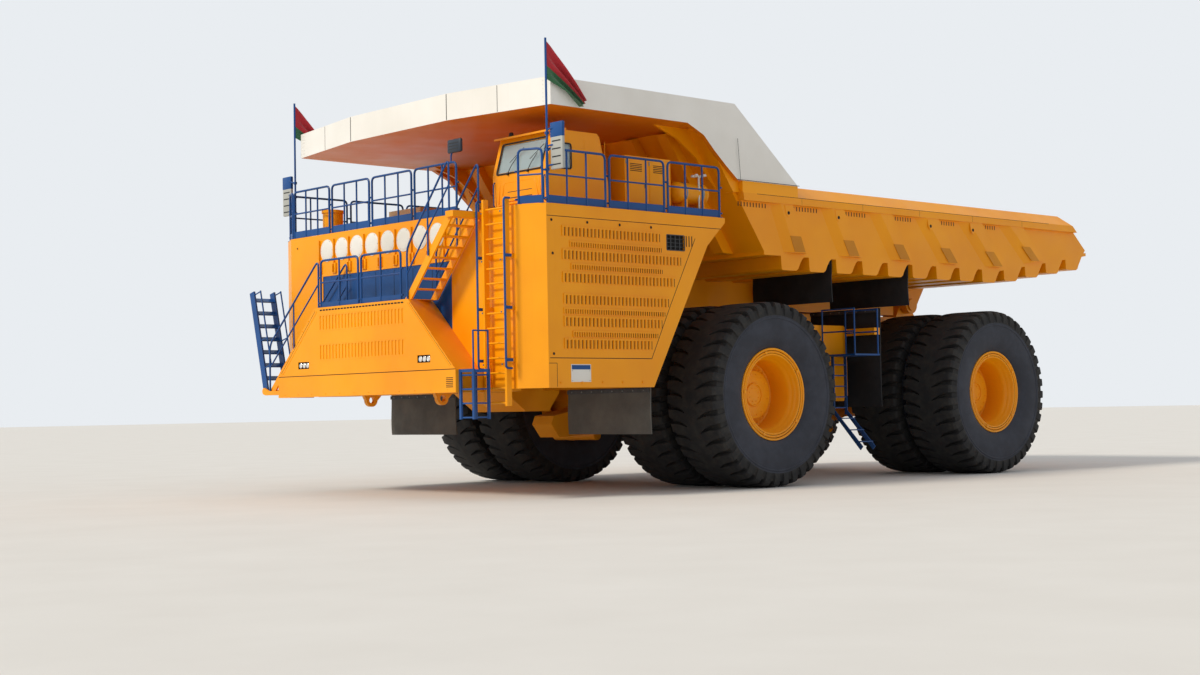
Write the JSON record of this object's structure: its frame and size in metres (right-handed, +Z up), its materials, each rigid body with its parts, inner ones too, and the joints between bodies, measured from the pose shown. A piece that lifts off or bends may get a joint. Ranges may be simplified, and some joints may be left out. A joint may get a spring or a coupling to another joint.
{
  "type": "mining dump truck",
  "caption": "Rigid mining dump truck with steered twin-tyre axles, tipping bed with canopy, hoists, railed deck, cab, stairs and ladders.",
  "frame": {"origin": "on the ground under the middle of the truck's bounding box", "axes": "+X forwards, +Y to the truck's left, +Z up"},
  "size_m": [20.6, 9.87, 8.88],
  "materials": {
    "yellow_paint": "sprayed semi-gloss enamel on steel plate",
    "blue_paint": "sprayed semi-gloss enamel on steel tube",
    "white_paint": "sprayed semi-gloss enamel on steel plate",
    "beige_paint": "matt enamel on steel plate",
    "tyre_rubber": "moulded tread rubber",
    "flap_rubber": "calendered rubber sheet",
    "bare_steel": "ground steel",
    "iron": "painted cast iron",
    "black_plastic": "moulded plastic",
    "window_glass": "laminated float glass",
    "lamp_glass": "clear lamp lens",
    "flag_cloth": "woven polyester flag cloth"
  },
  "bodies": {
    "truck": {"frame_rails": "yellow_paint", "front_beam": "yellow_paint", "grille_housing": "yellow_paint", "headlamps": "lamp_glass", "front_wall": "yellow_paint", "radiator_panel": "blue_paint", "intake_covers": "white_paint", "housing_left": "yellow_paint", "housing_right": "yellow_paint", "deck_plate": "yellow_paint", "deck_guards": "blue_paint", "walkway_guards": "blue_paint", "front_stairs": "yellow_paint", "tall_ladder": "yellow_paint", "side_ladder": "blue_paint", "engine_block": "iron", "cab_shell": "yellow_paint", "cab_glass": "window_glass", "cab_interior": "black_plastic", "deck_cabinet": "yellow_paint", "air_tank": "yellow_paint", "filter_drum": "yellow_paint", "resistor_cabinet": "beige_paint", "mirrors": "black_plastic", "flagpoles": "bare_steel", "flags": "flag_cloth", "fuel_tanks": "yellow_paint", "mud_flaps": "flap_rubber", "middle_ladder": "blue_paint"},
    "front_axle": {"front_axle": "yellow_paint"},
    "rear_axle": {"rear_axle": "yellow_paint"},
    "wheels_front_left": {"tyres_front_left": "tyre_rubber", "rims_front_left": "yellow_paint"},
    "wheels_front_right": {"tyres_front_right": "tyre_rubber", "rims_front_right": "yellow_paint"},
    "wheels_rear_left": {"tyres_rear_left": "tyre_rubber", "rims_rear_left": "yellow_paint"},
    "wheels_rear_right": {"tyres_rear_right": "tyre_rubber", "rims_rear_right": "yellow_paint"},
    "bed": {"bed_floor": "yellow_paint", "bed_sides": "yellow_paint", "bed_front": "yellow_paint", "canopy": "white_paint", "bed_flaps": "flap_rubber"},
    "hoist_barrel_left": {"hoist_barrel_left": "bare_steel"},
    "hoist_stage_left": {"hoist_stage_left": "bare_steel"},
    "hoist_rod_left": {"hoist_rod_left": "bare_steel"},
    "hoist_barrel_right": {"hoist_barrel_right": "bare_steel"},
    "hoist_stage_right": {"hoist_stage_right": "bare_steel"},
    "hoist_rod_right": {"hoist_rod_right": "bare_steel"},
    "cab_door": {"cab_door": "yellow_paint"},
    "boarding_stair": {"boarding_stair": "blue_paint"}
  },
  "joints": [
    {"name": "front_steer", "type": "hinge", "parent": "truck", "child": "front_axle", "pos_m": [2.95, 0, 3.06], "axis": [0, 0, 1], "range_deg": [-15, 15]},
    {"name": "rear_steer", "type": "hinge", "parent": "truck", "child": "rear_axle", "pos_m": [-5.05, 0, 3.06], "axis": [0, 0, 1], "range_deg": [-15, 15]},
    {"name": "roll_front_left", "type": "hinge", "parent": "front_axle", "child": "wheels_front_left", "pos_m": [2.95, 3.255, 1.98], "axis": [0, 1, 0], "continuous": true},
    {"name": "roll_front_right", "type": "hinge", "parent": "front_axle", "child": "wheels_front_right", "pos_m": [2.95, -3.255, 1.98], "axis": [0, 1, 0], "continuous": true},
    {"name": "roll_rear_left", "type": "hinge", "parent": "rear_axle", "child": "wheels_rear_left", "pos_m": [-5.05, 3.255, 1.98], "axis": [0, 1, 0], "continuous": true},
    {"name": "roll_rear_right", "type": "hinge", "parent": "rear_axle", "child": "wheels_rear_right", "pos_m": [-5.05, -3.255, 1.98], "axis": [0, 1, 0], "continuous": true},
    {"name": "bed_tip", "type": "hinge", "parent": "truck", "child": "bed", "pos_m": [-6.24, 0, 4.33], "axis": [0, -1, 0], "range_deg": [0, 45]},
    {"name": "hoist_swing_left", "type": "hinge", "parent": "truck", "child": "hoist_barrel_left", "pos_m": [-1.2, 1.44, 1.6], "axis": [0, -1, 0], "range_deg": [-1, 22.5]},
    {"name": "hoist_stage_left", "type": "slide", "parent": "hoist_barrel_left", "child": "hoist_stage_left", "axis": [0.2345, 0, 0.9721], "range_m": [0, 2.00897]},
    {"name": "hoist_rod_left", "type": "slide", "parent": "hoist_stage_left", "child": "hoist_rod_left", "axis": [0.2345, 0, 0.9721], "range_m": [0, 2.00897]},
    {"name": "hoist_swing_right", "type": "hinge", "parent": "truck", "child": "hoist_barrel_right", "pos_m": [-1.2, -1.44, 1.6], "axis": [0, -1, 0], "range_deg": [-1, 22.5]},
    {"name": "hoist_stage_right", "type": "slide", "parent": "hoist_barrel_right", "child": "hoist_stage_right", "axis": [0.2345, 0, 0.9721], "range_m": [0, 2.00897]},
    {"name": "hoist_rod_right", "type": "slide", "parent": "hoist_stage_right", "child": "hoist_rod_right", "axis": [0.2345, 0, 0.9721], "range_m": [0, 2.00897]},
    {"name": "cab_door", "type": "hinge", "parent": "truck", "child": "cab_door", "pos_m": [8.166, 2.2857, 6.4], "axis": [0, 0, 1], "range_deg": [0, 100]},
    {"name": "boarding_stair", "type": "hinge", "parent": "truck", "child": "boarding_stair", "pos_m": [9.85, -3.96, 2.26], "axis": [1, 0, 0], "range_deg": [0, 134]}
  ],
  "couplings": [
    {"joint": "rear_steer", "follows": "front_steer", "ratio": -1},
    {"joint": "hoist_swing_left", "follows": "bed_tip", "ratio": 0.49989},
    {"joint": "hoist_stage_left", "follows": "bed_tip", "m_per_rad": 2.5566},
    {"joint": "hoist_rod_left", "follows": "bed_tip", "m_per_rad": 2.5566},
    {"joint": "hoist_swing_right", "follows": "bed_tip", "ratio": 0.49989},
    {"joint": "hoist_stage_right", "follows": "bed_tip", "m_per_rad": 2.5566},
    {"joint": "hoist_rod_right", "follows": "bed_tip", "m_per_rad": 2.5566}
  ]
}
